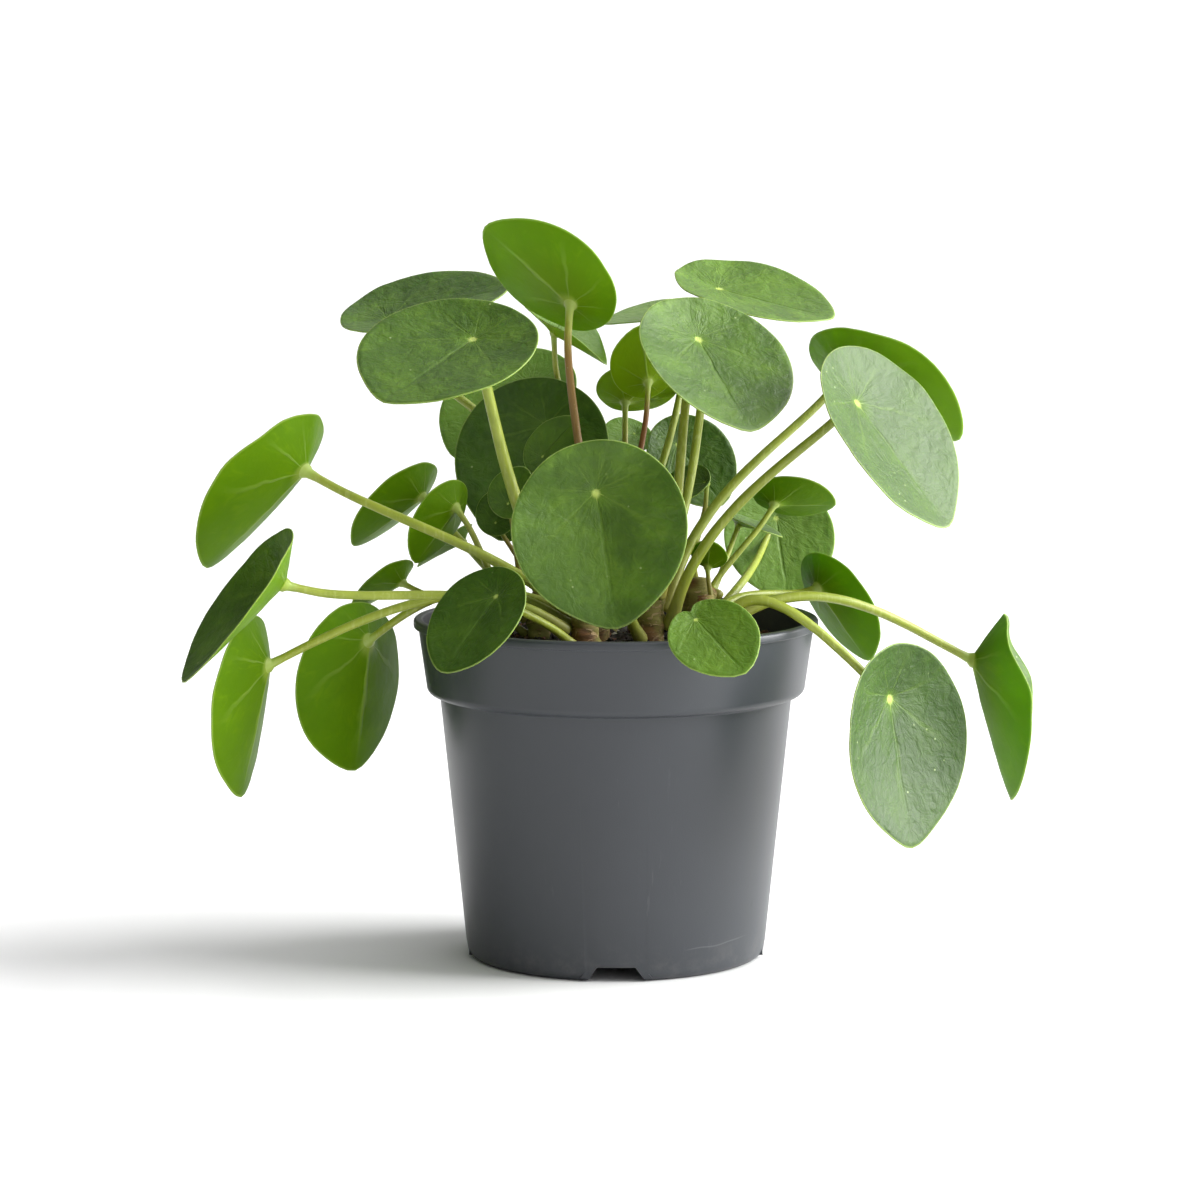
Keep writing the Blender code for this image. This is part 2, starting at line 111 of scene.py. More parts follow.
class LeafSettings(bpy.types.PropertyGroup):
    """Shape and colours that all leaves share."""
    edge: length("Edge", 0.42 * MM, "Thickness of the blade at its edge")
    centre: length("Centre", 0.85 * MM, "Thickness of the blade round its joint")
    waves: length("Waves", 0.40 * MM, "Height of the blade's slow waves")
    puckers: length("Puckers", 0.10 * MM, "Height of the fine puckers between the veins")
    upper: colour("Upper side", (0.040, 0.094, 0.0012), "Waxy upper side")
    fresh: colour("Fresh", (0.102, 0.205, 0.005), "Upper side of young leaves")
    under: colour("Underside", (0.098, 0.205, 0.0006), "Matt underside")
    joint: colour("Joint", (0.50, 0.62, 0.14), "Spot where the petiole meets the blade")
    petiole: colour("Petiole", (0.290, 0.345, 0.030), "Leaf stalks")
    petiole_red: colour("Red petiole", (0.200, 0.075, 0.012), "Leaf stalks with a red blush")


class StemSettings(bpy.types.PropertyGroup):
    """The short woody stems."""
    lumps: length("Lumps", 0.5 * MM, "Height of the ridges between leaf scars")
    bark: colour("Bark", (0.210, 0.095, 0.030), "Colour of the stem")
    scar: colour("Scar", (0.45, 0.30, 0.16), "Colour of old leaf scars")


class StageSettings(bpy.types.PropertyGroup):
    """Floor, light and camera."""
    key: FloatProperty(name="Key light", default=3.2, min=0, description="Strength of the key")
    softness: FloatProperty(name="Softness", default=radians(46), subtype="ANGLE",
                            description="How wide the key light is")
    side: FloatProperty(name="Side light", default=32.0, min=0, description="Power of the softbox")
    lens: FloatProperty(name="Lens", default=120.8, min=1, description="Focal length in mm")


# ---------------------------------------------------------------- node materials

class Value:
    """A number out of a node; arithmetic on it adds Math nodes."""

    def __init__(self, nodes, socket):
        self.nodes = nodes
        self.socket = socket

    def math(self, operation, *values):
        return self.nodes.add("ShaderNodeMath", {"operation": operation},
                              dict(enumerate(values)))

    def __add__(self, other):
        return self.math("ADD", self, other)

    def __radd__(self, other):
        return self.math("ADD", other, self)

    def __sub__(self, other):
        return self.math("SUBTRACT", self, other)

    def __rsub__(self, other):
        return self.math("SUBTRACT", other, self)

    def __mul__(self, other):
        return self.math("MULTIPLY", self, other)

    def __rmul__(self, other):
        return self.math("MULTIPLY", other, self)

    def step(self, low, high):
        """0 below low, 1 above high and smooth between them; low may be the higher one."""
        return self.nodes.add("ShaderNodeMapRange", {"interpolation_type": "SMOOTHSTEP"},
                              {0: self, 1: low, 2: high, 3: 0.0, 4: 1.0})


class Finish:
    """A material with a Principled shader, and short ways to add the nodes that feed it."""

    def __init__(self, name, **constants):
        self.material = bpy.data.materials.new(name)
        self.material.use_nodes = True
        self.tree = self.material.node_tree
        self.shader = self.tree.nodes["Principled BSDF"]
        for socket, value in constants.items():
            name = socket.replace("_", " ").title().replace("Ior", "IOR")
            self.shader.inputs[name].default_value = value

    def add(self, kind, settings, inputs, output=0):
        node = self.tree.nodes.new(kind)
        for name, value in settings.items():
            setattr(node, name, value)
        for key, value in inputs.items():
            self.feed(node.inputs[key], value)
        return Value(self, node.outputs[output])

    def feed(self, socket, value):
        if isinstance(value, Value):
            self.tree.links.new(value.socket, socket)
        elif socket.type == "RGBA":
            socket.default_value = (*value, 1) if len(value) == 3 else value
        else:
            socket.default_value = value

    def set(self, name, value):
        self.feed(self.shader.inputs[name], value)

    def place(self):
        """Object coordinates, which are the frame's own metres."""
        return self.add("ShaderNodeTexCoord", {}, {}, "Object")

    def attribute(self, name, output="Vector"):
        return self.add("ShaderNodeAttribute", {"attribute_name": name}, {}, output)

    def vector(self, operation, *values, output=0):
        return self.add("ShaderNodeVectorMath", {"operation": operation},
                        dict(enumerate(values)), output)

    def scaled(self, vector, scale):
        return self.add("ShaderNodeVectorMath", {"operation": "SCALE"}, {0: vector, 3: scale})

    def parts(self, vector):
        node = self.tree.nodes.new("ShaderNodeSeparateXYZ")
        self.feed(node.inputs[0], vector)
        return [Value(self, socket) for socket in node.outputs]

    def joined(self, x, y, z):
        return self.add("ShaderNodeCombineXYZ", {}, {0: x, 1: y, 2: z})

    def noise(self, vector, scale, detail=2.0, rough=0.5, distortion=0.0):
        return self.add("ShaderNodeTexNoise", {}, {"Vector": vector, "Scale": scale,
                        "Detail": detail, "Roughness": rough, "Distortion": distortion})

    def cells(self, vector, scale, feature="F1"):
        return self.add("ShaderNodeTexVoronoi", {"feature": feature},
                        {"Vector": vector, "Scale": scale}, "Distance")

    def mix(self, factor, first, second, blend="MIX"):
        return self.add("ShaderNodeMix", {"data_type": "RGBA", "blend_type": blend},
                        {0: factor, 6: first, 7: second}, 2)

    def bump(self, height, distance, strength=1.0, under=None):
        inputs = {"Height": height, "Distance": distance, "Strength": strength}
        if under:
            inputs["Normal"] = under
        return self.add("ShaderNodeBump", {}, inputs)


def blade_fields(finish):
    """What both sides of a blade share: place on the unit disc, share, rays and crinkles."""
    disc = finish.attribute("disc")
    across, along, _ = finish.parts(disc)
    share = finish.vector("LENGTH", disc, output="Value")
    heading = finish.vector("NORMALIZE", disc)
    place = finish.place()
    wobble = finish.noise(place, 130.0, 2.0) - 0.5
    turn = across.math("ARCTAN2", across, along) + wobble * 0.25
    rays = (turn * 7.0).math("COSINE", turn * 7.0).step(0.90, 1.0)
    rays = rays * share.step(1.0, 0.15) * share.step(0.02, 0.10)
    rib = (across + wobble * 0.02).math("ABSOLUTE", across + wobble * 0.02)
    rib = rib.step(0.022, 0.004) * along.step(0.03, 0.12) * along.step(1.0, 0.55)
    spokes = finish.vector("ADD", finish.scaled(heading, 5.0),
                           finish.joined(wobble * 1.5, 0.0, share * 4.0))
    crinkle = finish.noise(spokes, 1.0, 3.0, 0.6, 0.9)
    return place, share, rays, rib, crinkle


def upper_finish(leaf):
    finish = Finish("leaf_upper", specular_ior_level=0.30, coat_weight=0.05, coat_roughness=0.30,
                    coat_ior=1.4, sheen_weight=0.03, sheen_roughness=0.45,
                    subsurface_weight=0.20, subsurface_scale=1.2 * MM,
                    subsurface_radius=(0.6, 1.0, 0.05))
    place, share, rays, rib, crinkle = blade_fields(finish)
    shade, fresh, painted_sheen = finish.parts(finish.attribute("look"))
    mottle = finish.noise(place, 95.0, 4.0, 0.55)
    fine = finish.noise(place, 420.0, 3.0, 0.6)
    base = finish.mix(fresh, tuple(leaf.upper), tuple(leaf.fresh))
    base = finish.mix(mottle.step(0.35, 0.72) * 0.55, base, tuple(leaf.fresh))
    base = finish.mix(crinkle.step(0.50, 0.78) * 0.30, base, (0.140, 0.250, 0.012))
    base = finish.mix(fine.step(0.56, 0.80) * 0.22, base, (0.030, 0.075, 0.001))
    # painted sheen: a pale grey-green wash on leaves that catch the light
    base = finish.mix(painted_sheen, base, (0.21, 0.31, 0.11))
    # painted shade: darkens the leaves that lie in shade
    base = finish.mix(shade, base, (0.014, 0.045, 0.0005))
    base = finish.mix(rays * 0.20, base, (0.17, 0.28, 0.03))
    # painted shade: a darker line in the crease along the midrib
    base = finish.mix(rib * 0.22, base, (0.030, 0.085, 0.001))
    specks = finish.cells(place, 230.0).step(0.10, 0.045) * finish.noise(place, 60.0).step(.52, .62)
    base = finish.mix(specks * 0.6, base, (0.36, 0.44, 0.20))
    base = finish.mix(share.step(0.20, 0.03) * 0.45, base, tuple(leaf.fresh))
    star = share - rays * 0.035 - (mottle - 0.5) * 0.03
    base = finish.mix(star.step(0.066, 0.018) * 0.95, base, tuple(leaf.joint))
    base = finish.mix(share.step(0.986, 1.0) * 0.45, base, (0.36, 0.47, 0.12))
    finish.set("Base Color", base)
    finish.set("Roughness", 0.36 + mottle * 0.12 + fine * 0.10)
    pucker = finish.cells(place, 330.0, "SMOOTH_F1")
    wrinkle = finish.noise(place, 210.0, 3.0, 0.55, 1.2)
    height = crinkle * 0.75 + wrinkle * 1.0 + pucker * 0.5 + fine * 0.35 - rib * 0.35 - rays * 0.2
    finish.set("Normal", finish.bump(height, 0.50 * MM, 0.85))
    return finish.material


def under_finish(leaf):
    finish = Finish("leaf_underside", specular_ior_level=0.08, sheen_weight=0.01,
                    subsurface_weight=0.35, subsurface_scale=1.6 * MM,
                    subsurface_radius=(0.7, 1.0, 0.03))
    place, share, rays, rib, crinkle = blade_fields(finish)
    shade, fresh, _ = finish.parts(finish.attribute("look"))
    mottle = finish.noise(place, 70.0, 4.0, 0.5)
    base = finish.mix(mottle.step(0.3, 0.75) * 0.55, tuple(leaf.under), (0.075, 0.165, 0.0006))
    base = finish.mix(fresh * 0.6, base, (0.23, 0.34, 0.002))
    # painted shade: darkens the undersides of leaves that lie in shade
    base = finish.mix(shade * 0.6, base, (0.045, 0.100, 0.001))
    base = finish.mix(crinkle.step(0.48, 0.8) * 0.18, base, (0.21, 0.36, 0.004))
    base = finish.mix(rays * 0.5, base, (0.23, 0.34, 0.06))
    base = finish.mix(rib * 0.5, base, (0.23, 0.34, 0.06))
    base = finish.mix(share.step(0.16, 0.04) * 0.7, base, (0.30, 0.40, 0.06))
    base = finish.mix(share.step(0.982, 0.999) * 0.4, base, (0.34, 0.44, 0.10))
    finish.set("Base Color", base)
    finish.set("Roughness", 0.46 + mottle * 0.12)
    height = rays * 0.8 + rib * 0.8 + crinkle * 0.5 + finish.noise(place, 500.0, 2.0) * 0.4
    finish.set("Normal", finish.bump(height, 0.3 * MM, 0.6))
    return finish.material


def petiole_finish(leaf):
    finish = Finish("petiole", subsurface_weight=0.15, subsurface_scale=1.5 * MM,
                    subsurface_radius=(1.0, 0.9, 0.3), coat_weight=0.10, coat_roughness=0.35)
    along = finish.attribute("along", "Fac")
    red = finish.attribute("red", "Fac")
    place = finish.place()
    mottle = finish.noise(place, 160.0, 3.0)
    lines = finish.noise(finish.vector("MULTIPLY", place, (900.0, 900.0, 90.0)), 1.0, 2.0)
    base = finish.mix(mottle.step(0.35, 0.7) * 0.6, tuple(leaf.petiole), (0.200, 0.260, 0.014))
    base = finish.mix(lines.step(0.5, 0.75) * 0.45, base, (0.44, 0.48, 0.13))
    base = finish.mix(1.0 - along.step(0.0, 0.05), base, (0.30, 0.40, 0.06))
    base = finish.mix(along.step(0.80, 1.0) * 0.55, base, (0.30, 0.25, 0.08))
    blush = red * along.step(0.02, 0.2)
    base = finish.mix(blush, base, tuple(leaf.petiole_red))
    specks = finish.cells(place, 700.0).step(0.16, 0.06)
    base = finish.mix(specks * 0.35, base, (0.40, 0.42, 0.20))
    finish.set("Base Color", base)
    finish.set("Roughness", 0.38 + mottle * 0.14)
    finish.set("Normal", finish.bump(lines + mottle, 0.12 * MM, 0.6))
    return finish.material


def stem_finish(stem):
    finish = Finish("stem_bark")
    place = finish.place()
    rings = finish.noise(finish.vector("MULTIPLY", place, (150.0, 150.0, 700.0)), 1.0, 4.0, 0.6)
    green = finish.noise(place, 110.0, 3.0)
    scars = finish.noise(finish.vector("MULTIPLY", place, (260.0, 260.0, 520.0)), 1.0, 1.0, 0.5, 1.5)
    scars = scars.step(0.60, 0.68)
    base = finish.mix(rings.step(0.35, 0.7), tuple(stem.bark), (0.080, 0.035, 0.012))
    base = finish.mix(green.step(0.36, 0.58) * 0.75, base, (0.210, 0.210, 0.040))
    base = finish.mix(scars * 0.55, base, tuple(stem.scar))
    finish.set("Base Color", base)
    finish.set("Roughness", 0.62 + rings * 0.25)
    finish.set("Normal", finish.bump(rings + scars * 0.5, 0.5 * MM, 0.9))
    return finish.material


def soil_finish(soil):
    finish = Finish("damp_peat")
    place = finish.place()
    lumps = finish.noise(place, 260.0, 6.0, 0.7)
    fibres = finish.noise(finish.vector("MULTIPLY", place, (900.0, 260.0, 500.0)), 1.0, 4.0, 0.7)
    base = finish.mix(lumps.step(0.35, 0.72), (0.009, 0.006, 0.004), tuple(soil.peat))
    base = finish.mix(fibres.step(0.60, 0.78) * 0.7, base, (0.085, 0.043, 0.020))
    finish.set("Base Color", base)
    finish.set("Roughness", 0.72 + lumps * 0.25)
    finish.set("Normal", finish.bump(lumps + fibres * 0.5, 0.9 * MM, 1.0))
    return finish.material


def chip_finish(name, shade, dark, scale, rough):
    """Bark chips and perlite: one colour, broken up by darker grain."""
    finish = Finish(name)
    place = finish.place()
    grain = finish.noise(place, scale, 4.0, 0.65)
    piece = finish.noise(place, 180.0, 0.0)
    base = finish.mix(grain.step(0.35, 0.7), dark, shade)
    base = finish.mix(piece.step(0.3, 0.75) * 0.6, base, dark)
    finish.set("Base Color", base)
    finish.set("Roughness", rough + grain * 0.15)
    finish.set("Normal", finish.bump(grain, 0.25 * MM, 0.8))
    return finish.material


def pot_finish(pot):
    """Satin injection-moulded plastic: fine grain, soft scuffs and a few handling marks."""
    finish = Finish("pot_plastic", specular_ior_level=0.45)
    place = finish.place()
    grain = finish.noise(place, 2600.0, 2.0)
    cloud = finish.noise(place, 24.0, 4.0, 0.6)
    across, depth, height = finish.parts(place)
    scuffs = finish.noise(finish.vector("MULTIPLY", place, (620.0, 620.0, 60.0)), 1.0, 3.0, 0.65)
    scuffs = scuffs.step(0.63, 0.78) * finish.noise(place, 30.0, 1.0).step(0.45, 0.65)
    line = (height - 0.0085 - across * 0.05 + finish.noise(place, 90.0, 1.0) * 0.0016)
    scratch = line.math("ABSOLUTE", line).step(0.00032, 0.00006)
    scratch = scratch * across.step(0.019, 0.023) * across.step(0.039, 0.034) * depth.step(0, -.01)
    dusty = height.step(0.014, 0.002) * finish.noise(place, 140.0, 4.0, 0.7).step(0.45, 0.7)
    base = finish.mix(cloud.step(0.3, 0.75) * 0.5, tuple(pot.plastic), (0.041, 0.045, 0.052))
    base = finish.mix(scuffs * 0.22, base, (0.110, 0.115, 0.122))
    base = finish.mix(scratch * 0.20, base, (0.20, 0.205, 0.21))
    base = finish.mix(dusty * 0.16, base, (0.16, 0.15, 0.14))
    finish.set("Base Color", base)
    finish.set("Roughness", 0.36 + cloud * 0.08 + scuffs * 0.15 - scratch * 0.1)
    finish.set("Normal", finish.bump(grain + cloud * 2.0 - scuffs * 0.6, 0.05 * MM, 0.45))
    return finish.material


# ---------------------------------------------------------------- mesh helpers

def new_piece(name, bm, finishes, replaced=(), smooth=True):
    """A finished piece at the origin that rides on the plant's only body."""
    mesh = bpy.data.meshes.new(name)
    bm.to_mesh(mesh)
    bm.free()
    for finish in finishes:
        mesh.materials.append(finish)
    if smooth:
        mesh.shade_smooth()
    piece = bpy.data.objects.new(name, mesh)
    bpy.context.scene.collection.objects.link(piece)
    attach(piece, BODY)
    if replaced:
        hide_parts(*replaced)
    return piece


def skin(bm, centre, rings, cap_at=None):
    """A closed skin: a fan from centre to the first ring, a band for each next one and a cap.

    Returns the vertices by ring, in the order of the points. Each new ring is extruded from
    the last one, and a mark that the extrusion carries along keeps the order.
    """
    count = len(rings[0])
    mark = bm.verts.layers.int.get("mark") or bm.verts.layers.int.new("mark")
    fan = bmesh.ops.create_circle(bm, cap_ends=True, cap_tris=True, segments=count, radius=1)["verts"]
    middle = next(vert for vert in fan if len(vert.link_edges) == count)
    first = [vert for vert in fan if vert is not middle]
    middle.co = centre
    made = [first]
    for i, vert in enumerate(first):
        vert[mark] = i
        vert.co = rings[0][i]
    edges = [edge for edge in set().union(*(vert.link_edges for vert in first))
             if edge.is_boundary]
    for ring in rings[1:]:
        grown = bmesh.ops.extrude_edge_only(bm, edges=edges)["geom"]
        verts = sorted((item for item in grown if isinstance(item, bmesh.types.BMVert)),
                       key=lambda vert: vert[mark])
        edges = [item for item in grown if isinstance(item, bmesh.types.BMEdge) and item.is_boundary]
        for vert in verts:
            vert.co = ring[vert[mark]]
        made.append(verts)
    cap = bmesh.ops.holes_fill(bm, edges=edges, sides=0)["faces"]
    last = bmesh.ops.poke(bm, faces=cap)["verts"]
    if cap_at:
        last[0].co = cap_at
    return middle, made, last[0]


def closed_curve(values, place):
    """Catmull-Rom through values that repeat, at a place counted in values."""
    start = floor(place)
    part = place - start
    a, b, c, d = (values[(start + step) % len(values)] for step in (-1, 0, 1, 2))
    return b + 0.5 * part * ((c - a) + part * ((2 * a - 5 * b + 4 * c - d)
                                                + part * (3 * (b - c) + d - a)))


def open_curve(values, place):
    """Catmull-Rom through values with two ends."""
    last = len(values) - 1
    start = min(last - 1, max(0, floor(place)))
    part = place - start
    a, b, c, d = (values[min(last, max(0, start + step))] for step in (-1, 0, 1, 2))
    if start == 0:
        a = b * 2 - c
    if start == last - 1:
        d = c * 2 - b
    return b + (part * 0.5) * ((c - a) + part * ((2 * a - 5 * b + 4 * c - d)
                                                  + part * (3 * (b - c) + d - a)))


def smooth(low, high, value):
    share = min(1.0, max(0.0, (value - low) / (high - low)))
    return share * share * (3 - 2 * share)


def ripple(x, y, z, scale):
    """Smooth noise from -1 to 1."""
    return noise.noise(Vector((x, y, z)) * scale)


# ---------------------------------------------------------------- leaves

# How each leaf looks: dark (painted shade on leaves that lie in shade), fresh (young ones),
# a painted sheen (a pale grey-green wash on leaves that catch the light), red (a blush on its
# petiole) and fold (how steeply its halves rise from the midrib). The rest are plain.
LOOKS = {
    "leaf_top_left": dict(fresh=.15, red=.85),
    "leaf_upper_left_front": dict(dark=.1),
    "leaf_upper_left_back": dict(dark=.35),
    "leaf_young_top": dict(fresh=.6, red=.2, fold=.3),
    "leaf_dark_left": dict(dark=.35),
    "leaf_back_left": dict(fresh=1.0, painted_sheen=.3),
    "leaf_small_middle": dict(fresh=.1, painted_sheen=.1, red=.4),
    "leaf_front_middle": dict(painted_sheen=.06, fold=.2),
    "leaf_top_right_back": dict(fresh=.2),
    "leaf_top_right_front": dict(dark=.1, red=.1, fold=.06),
    "leaf_top_far_back": dict(fresh=.5, painted_sheen=.5),
    "leaf_young_upright": dict(fresh=.75, red=1.0),
    "leaf_young_back": dict(fresh=.85, red=.3),
    "leaf_right_front": dict(painted_sheen=.25, dark=.6, fold=.09),
    "leaf_right_back": dict(fresh=.2, fold=.12),
    "leaf_pale_back": dict(fresh=.9, painted_sheen=.2),
    "leaf_dark_right": dict(dark=.3),
    "leaf_right_level": dict(dark=.25),
    "leaf_light_back_right": dict(fresh=1.0, painted_sheen=.35),
    "leaf_small_grey": dict(painted_sheen=.25, dark=.2, red=.3),
    "leaf_small_folded": dict(fresh=.2, painted_sheen=.15),
    "leaf_tiny_olive": dict(fresh=.2, dark=.2, red=.45),
    "leaf_tiny_low": dict(fresh=.4, red=.3),
    "leaf_front_left": dict(dark=.45),
    "leaf_front_right": dict(fresh=.45),
    "leaf_right_low": dict(dark=.7),
    "leaf_far_right": dict(dark=.1, fold=.3),
    "leaf_far_left_low": dict(dark=.4, fold=.08),
    "leaf_far_left_high": dict(fold=.12),
    "leaf_left_hanging": dict(fold=.08),
    "leaf_far_left_middle": dict(dark=.1),
    "leaf_left_inner": dict(dark=.1, red=.15),
    "leaf_left_narrow": dict(dark=.1, red=.2),
    "leaf_small_left": dict(dark=.2, red=.6),
    "leaf_small_left_front": dict(dark=.2, red=.6),
    "leaf_left_low_back": dict(dark=.1, red=.15),
}


class SolidLeaf:
    """The shape of a leaf, read from its solid: the blade's rings and the petiole's line."""

    UPPER, LOWER, PETIOLE = slice(0, 3), slice(3, 6), slice(6, None)
    SHARES = (0.0, 0.36, 0.7, 1.0)

    def __init__(self, node):
        bm = bmesh.new()
        bm.from_mesh(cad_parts[node].data)
        bmesh.ops.remove_doubles(bm, verts=bm.verts, dist=0.001 * MM)
        pole = max(bm.verts, key=lambda vert: len(vert.link_edges))
        layers, seen, layer = [], {pole}, [pole]
        while layer:
            layer = [other for other in dict.fromkeys(edge.other_vert(vert) for vert in layer
                                                      for edge in vert.link_edges)
                     if other not in seen]
            seen.update(layer)
            if layer:
                layers.append([vert.co.copy() for vert in layer])
        self.joint = pole.co.copy()
        bm.free()
        upper, lower, tube = layers[self.UPPER], layers[self.LOWER], layers[self.PETIOLE]
        self.count = len(upper[0])
        self.normal = (middle_of(upper[-1]) - middle_of(lower[0])).normalized()
        flat = [self.flatten(point) for point in upper[-1]]
        self.tip = max(flat, key=lambda vector: vector.length).normalized()
        self.across = self.tip.cross(self.normal)
        self.reaches = [0.0] * self.count
        self.rises = [[0.0] * self.count for _ in upper]
        for ring, rises in zip(upper, self.rises):
            for point in ring:
                out = self.flatten(point)
                angle = atan2(out.dot(self.across), out.dot(self.tip))
                index = round(angle / (2 * pi) * self.count) % self.count
                rises[index] = (point - self.joint).dot(self.normal)
                if ring is upper[-1]:
                    self.reaches[index] = out.length
        self.line = [middle_of(ring) for ring in tube]
        self.radii = [sum((point - centre).length for point in ring) / len(ring)
                      for ring, centre in zip(tube, self.line)]
        self.width = self.reach(pi / 2) + self.reach(-pi / 2)

    def flatten(self, point):
        out = point - self.joint
        return out - self.normal * out.dot(self.normal)

    def reach(self, angle):
        return closed_curve(self.reaches, angle / (2 * pi) * self.count)

    def rise(self, share, angle):
        """Height over the joint: a cubic in the share through the joint and the three rings."""
        place = angle / (2 * pi) * self.count
        heights = [0.0] + [closed_curve(rises, place) for rises in self.rises]
        total = 0.0
        for i, (at, height) in enumerate(zip(self.SHARES, heights)):
            weight = 1.0
            for k, other in enumerate(self.SHARES):
                if k != i:
                    weight *= (share - other) / (at - other)
            total += height * weight
        return total


def middle_of(points):
    return sum(points, Vector()) / len(points)


class FineLeaf:
    """One leaf's fine mesh: a waved, puckered blade that thickens into its petiole."""

    TIP_WIDTH = 0.15
    EDGE_RINGS = ((0.30, 0.15), (0.5, 0.5), (0.30, 0.85))
    SPREAD = 0.92
    FLARE = 1.0
    FLARE_RINGS = (0.2, 0.42, 0.68, 1.0)
    SUNK = 1.0 * MM
    FOLD_WIDTH = 2.6 * MM
    CREASE_DEPTH, CREASE_WIDTH = 0.15 * MM, 1.4 * MM
    DIMPLE_DEPTH, DIMPLE_WIDTH = 0.35 * MM, 1.8 * MM

    def __init__(self, node, seed, settings):
        self.node = node
        self.solid = SolidLeaf(node)
        self.settings = settings
        self.seed = seed * 0.37
        chance = Random(seed)
        self.tip_point = chance.uniform(0.012, 0.032)
        self.wave_phase = chance.uniform(0, 2 * pi)
        self.fold = LOOKS.get(node, {}).get("fold", 0.03)
        self.waves = settings.waves * min(1.0, self.solid.width / (40 * MM))
        large = self.solid.count > 12
        self.segments = 80 if large else 48
        self.rings = 20 if large else 13
        self.petiole_rings = 26 if large else 20

    def reach(self, angle):
        near = (angle + pi) % (2 * pi) - pi
        edge = 1 + self.tip_point * exp(-((near / self.TIP_WIDTH) ** 2))
        edge += 0.007 * ripple(cos(angle) * 1.7, sin(angle) * 1.7, self.seed, 1.0)
        return self.solid.reach(angle) * edge

    def relief(self, share, angle, out):
        """Slow waves, puckers, a crease along the midrib and a dimple over the petiole."""
        x, y = sin(angle) * out, cos(angle) * out
        wave = self.waves * share * (ripple(x, y, self.seed, 75.0)
                                     + 0.5 * share * share
                                     * sin(5 * angle + self.wave_phase + 2 * ripple(x, y, 0, 60)))
        pucker = self.settings.puckers * smooth(0.05, 0.3, share) * ripple(x, y, self.seed, 330.0)
        rise = sqrt(x * x + self.FOLD_WIDTH ** 2) - self.FOLD_WIDTH
        fold = self.fold * rise * smooth(-8 * MM, 10 * MM, y)
        crease = self.CREASE_DEPTH * exp(-((x / self.CREASE_WIDTH) ** 2)) * smooth(1 * MM, 5 * MM, y)
        dimple = self.DIMPLE_DEPTH * exp(-((out / self.DIMPLE_WIDTH) ** 2))
        return wave + pucker + fold - crease * (1 - 0.6 * share) - dimple

    def thickness(self, share, out):
        solid = self.solid
        root = solid.radii[0]
        thin = self.settings.centre + (self.settings.edge - self.settings.centre) * smooth(0, .8, share)
        return thin + 0.7 * root * exp(-((out / (2.3 * root)) ** 2))

    def point(self, share, angle, beyond=0.0, drop=0.0, radius=None):
        """A point of the blade; beyond pushes it outwards and drop is a share of the thickness."""
        solid = self.solid
        out = share * self.reach(angle) if radius is None else radius
        if radius is not None:
            share = radius / self.reach(angle)
        height = solid.rise(share, angle) + self.relief(share, angle, out)
        height -= drop * self.thickness(share, out)
        out += beyond
        return (solid.joint + solid.across * sin(angle) * out + solid.tip * cos(angle) * out
                + solid.normal * height)

    def blade(self):
        """Rings of points from the joint round to below it, with their places on a unit disc."""
        rings, marks = [], []
        angles = [2 * pi * i / self.segments for i in range(self.segments)]
        shares = [(k / self.rings) ** self.SPREAD for k in range(1, self.rings + 1)]

        def add(share, mark_share, **how):
            rings.append([self.point(share, angle, **how) for angle in angles])
            marks.append([(mark_share * sin(angle), mark_share * cos(angle)) for angle in angles])

        for share in shares:
            add(share, share)
        for beyond, drop in self.EDGE_RINGS:
            add(1.0, 1.0, beyond=beyond * self.settings.edge, drop=drop)
        root = self.solid.radii[0] * (1 + self.FLARE)
        least = 1.25 * root / min(self.solid.reaches)
        for share in reversed(shares):
            if share > least:
                add(share, share, drop=1.0)
        add(0, 0.05, drop=1.0, radius=root)
        return rings, marks

    def petiole(self):
        """Rings of the petiole from the blade down to the stem, with how far along each one is."""
        solid = self.solid
        root = solid.radii[0]
        start = solid.joint - solid.normal * self.thickness(0, 0)
        levels = len(solid.line) - 1
        steps = [(start.lerp(solid.line[0], at), root, 0.0) for at in self.FLARE_RINGS]
        for i in range(1, self.petiole_rings + 1):
            place = levels * i / self.petiole_rings
            steps.append((open_curve(solid.line, place), open_curve(solid.radii, place), place / levels))
        into_stem = (steps[-1][0] - steps[-2][0]).normalized() * self.SUNK
        steps.append((steps[-1][0] + into_stem, steps[-1][1] * 0.9, 1.0))
        rings, marks = [], []
        tip = solid.tip
        run = 0.0
        for i, (centre, radius, along) in enumerate(steps):
            before = steps[i - 1][0] if i else start
            after = steps[min(i + 1, len(steps) - 1)][0]
            run += (centre - before).length
            near = exp(-run / (2.6 * root))
            slope = (before - after).normalized()
            facing = (slope * (1 - near) + solid.normal * near).normalized()
            tip = (tip - facing * tip.dot(facing)).normalized()
            side = tip.cross(facing)
            wide = radius * (1 + self.FLARE * exp(-run / (0.8 * root)) + 0.25 * smooth(.9, 1, along))
            wide *= 1 + 0.04 * ripple(along * 9, self.seed, 0, 1.0)
            rings.append([centre + wide * (1 + 0.03 * cos(2 * t + 5 * along)) * (side * sin(t)
                          + tip * cos(t)) for t in (2 * pi * k / self.segments
                                                     for k in range(self.segments))])
            marks.append(along)
        return rings, marks, steps[-1][0] + into_stem * 0.3

